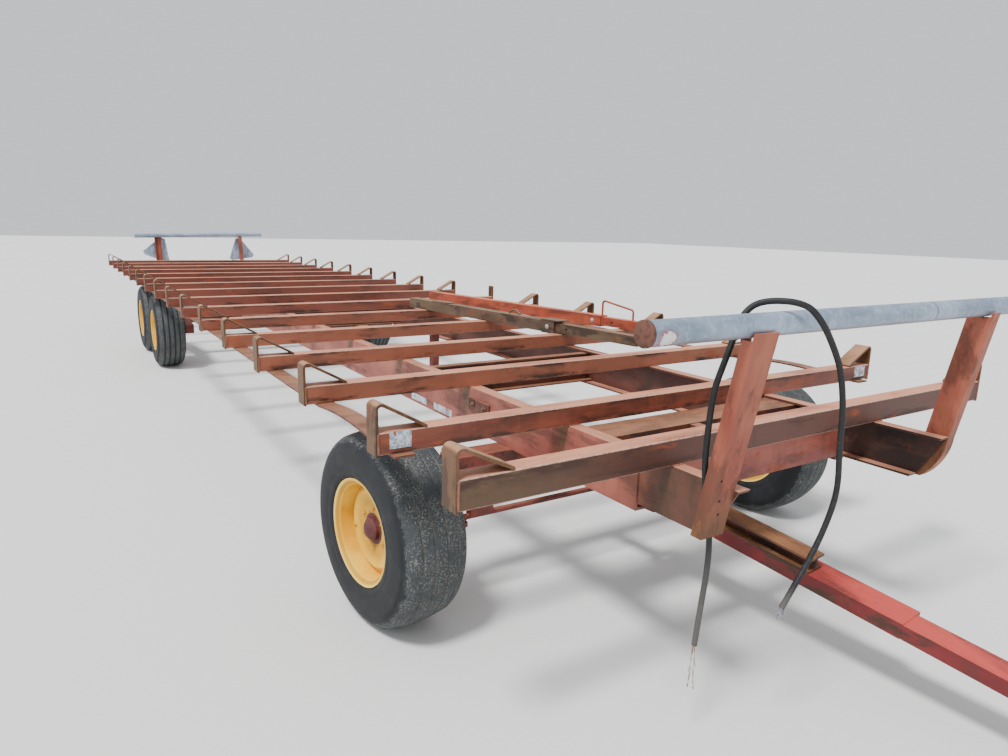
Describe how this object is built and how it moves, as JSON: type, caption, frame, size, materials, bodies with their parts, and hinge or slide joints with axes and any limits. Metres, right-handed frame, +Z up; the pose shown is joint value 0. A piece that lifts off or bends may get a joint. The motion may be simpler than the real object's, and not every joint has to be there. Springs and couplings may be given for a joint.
{
  "type": "hay wagon",
  "caption": "Long steel round-bale wagon: two rails under crossbars with bent end stops, pipe racks, steered front axle with tongue and tandem rear wheels on each side.",
  "frame": {"origin": "on the ground, under the middle of the bounding box", "axes": "+X forward towards the hitch, +Y to the wagon's left, +Z up"},
  "size_m": [13.6152, 2.76, 1.394],
  "materials": {
    "cable": "matt sheath",
    "frame_red": "faded, rusting paint",
    "galvanised": "weathered zinc",
    "hub_red": "faded paint",
    "pole_rust": "rusted",
    "rim_yellow": "faded gloss paint",
    "tongue_red": "worn paint",
    "tyre": "worn and dusty"
  },
  "bodies": {
    "frame": {"bale_stops_left": "frame_red", "bale_stops_right": "frame_red", "blank_plates": "galvanised", "cable_back": "cable", "cable_front": "cable", "centre_hanger": "frame_red", "crossbar_front": "frame_red", "crossbars": "frame_red", "crossmembers": "frame_red", "front_axle": "frame_red", "front_cross_plate": "frame_red", "front_pipe": "galvanised", "front_post_left": "frame_red", "front_post_right": "frame_red", "nose_centre_beam": "frame_red", "nose_crossmember": "frame_red", "nose_left": "frame_red", "nose_right": "frame_red", "pole_far_inner": "pole_rust", "pole_far_outer": "pole_rust", "pole_handle": "pole_rust", "pole_near_inner": "pole_rust", "pole_near_outer": "pole_rust", "rail_left": "frame_red", "rail_right": "frame_red", "rear_axle": "frame_red", "rear_pipe": "galvanised", "rear_post_left": "frame_red", "rear_post_right": "frame_red", "side_strap_left": "frame_red", "side_strap_right": "frame_red", "walking_beam_left": "frame_red", "walking_beam_right": "frame_red"},
    "wheel_front_left": {"tyre_front_left": "tyre", "rim_front_left": "rim_yellow", "hub_front_left": "hub_red"},
    "wheel_front_right": {"tyre_front_right": "tyre", "rim_front_right": "rim_yellow", "hub_front_right": "hub_red"},
    "wheel_middle_left": {"tyre_middle_left": "tyre", "rim_middle_left": "rim_yellow", "hub_middle_left": "hub_red"},
    "wheel_middle_right": {"tyre_middle_right": "tyre", "rim_middle_right": "rim_yellow", "hub_middle_right": "hub_red"},
    "wheel_rear_left": {"tyre_rear_left": "tyre", "rim_rear_left": "rim_yellow", "hub_rear_left": "hub_red"},
    "wheel_rear_right": {"tyre_rear_right": "tyre", "rim_rear_right": "rim_yellow", "hub_rear_right": "hub_red"},
    "knuckle_left": {"knuckle_left": "frame_red"},
    "tie_rod_left": {"tie_rod_left": "frame_red"},
    "knuckle_right": {"knuckle_right": "frame_red"},
    "tie_rod_right": {"tie_rod_right": "frame_red"},
    "tongue_swing": {"tongue_swing": "frame_red"},
    "tongue": {"tongue_tube": "tongue_red", "tongue_slip": "tongue_red", "hitch_clevis": "tongue_red", "tongue_channel": "frame_red"}
  },
  "joints": [
    {"name": "tongue_steer", "type": "hinge", "parent": "frame", "child": "tongue_swing", "pos_m": [3.574, 0, 0.48], "axis": [0, 0, 1], "range_deg": [-41, 29]},
    {"name": "tongue_lift", "type": "hinge", "parent": "tongue_swing", "child": "tongue", "pos_m": [3.89424, 0.03366, 0.38], "axis": [0.1045, -0.9945, 0], "range_deg": [-8, 17]},
    {"name": "knuckle_right_steer", "type": "hinge", "parent": "frame", "child": "knuckle_right", "pos_m": [3.574, -0.87, 0.5], "axis": [0, 0, 1], "range_deg": [-41, 29]},
    {"name": "tie_rod_right_pivot", "type": "hinge", "parent": "tongue_swing", "child": "tie_rod_right", "pos_m": [3.67345, 0.01045, 0.398], "axis": [0, 0, 1], "range_deg": [-29, 41]},
    {"name": "knuckle_left_steer", "type": "hinge", "parent": "frame", "child": "knuckle_left", "pos_m": [3.574, 0.87, 0.5], "axis": [0, 0, 1], "range_deg": [-41, 29]},
    {"name": "tie_rod_left_pivot", "type": "hinge", "parent": "tongue_swing", "child": "tie_rod_left", "pos_m": [3.67345, 0.01045, 0.398], "axis": [0, 0, 1], "range_deg": [-29, 41]},
    {"name": "front_left_spin", "type": "hinge", "parent": "knuckle_left", "child": "wheel_front_left", "pos_m": [3.54369, 1.15841, 0.39], "axis": [-0.1045, 0.9945, 0], "continuous": true},
    {"name": "front_right_spin", "type": "hinge", "parent": "knuckle_right", "child": "wheel_front_right", "pos_m": [3.60431, -1.15841, 0.39], "axis": [-0.1045, 0.9945, 0], "continuous": true},
    {"name": "middle_left_spin", "type": "hinge", "parent": "frame", "child": "wheel_middle_left", "pos_m": [-2.294, 1.17, 0.39], "axis": [0, 1, 0], "continuous": true},
    {"name": "middle_right_spin", "type": "hinge", "parent": "frame", "child": "wheel_middle_right", "pos_m": [-2.294, -1.17, 0.39], "axis": [0, 1, 0], "continuous": true},
    {"name": "rear_left_spin", "type": "hinge", "parent": "frame", "child": "wheel_rear_left", "pos_m": [-3.384, 1.17, 0.39], "axis": [0, 1, 0], "continuous": true},
    {"name": "rear_right_spin", "type": "hinge", "parent": "frame", "child": "wheel_rear_right", "pos_m": [-3.384, -1.17, 0.39], "axis": [0, 1, 0], "continuous": true}
  ],
  "couplings": [
    {"joint": "knuckle_right_steer", "follows": "tongue_steer", "ratio": 1},
    {"joint": "tie_rod_right_pivot", "follows": "tongue_steer", "ratio": -1},
    {"joint": "knuckle_left_steer", "follows": "tongue_steer", "ratio": 1},
    {"joint": "tie_rod_left_pivot", "follows": "tongue_steer", "ratio": -1}
  ]
}
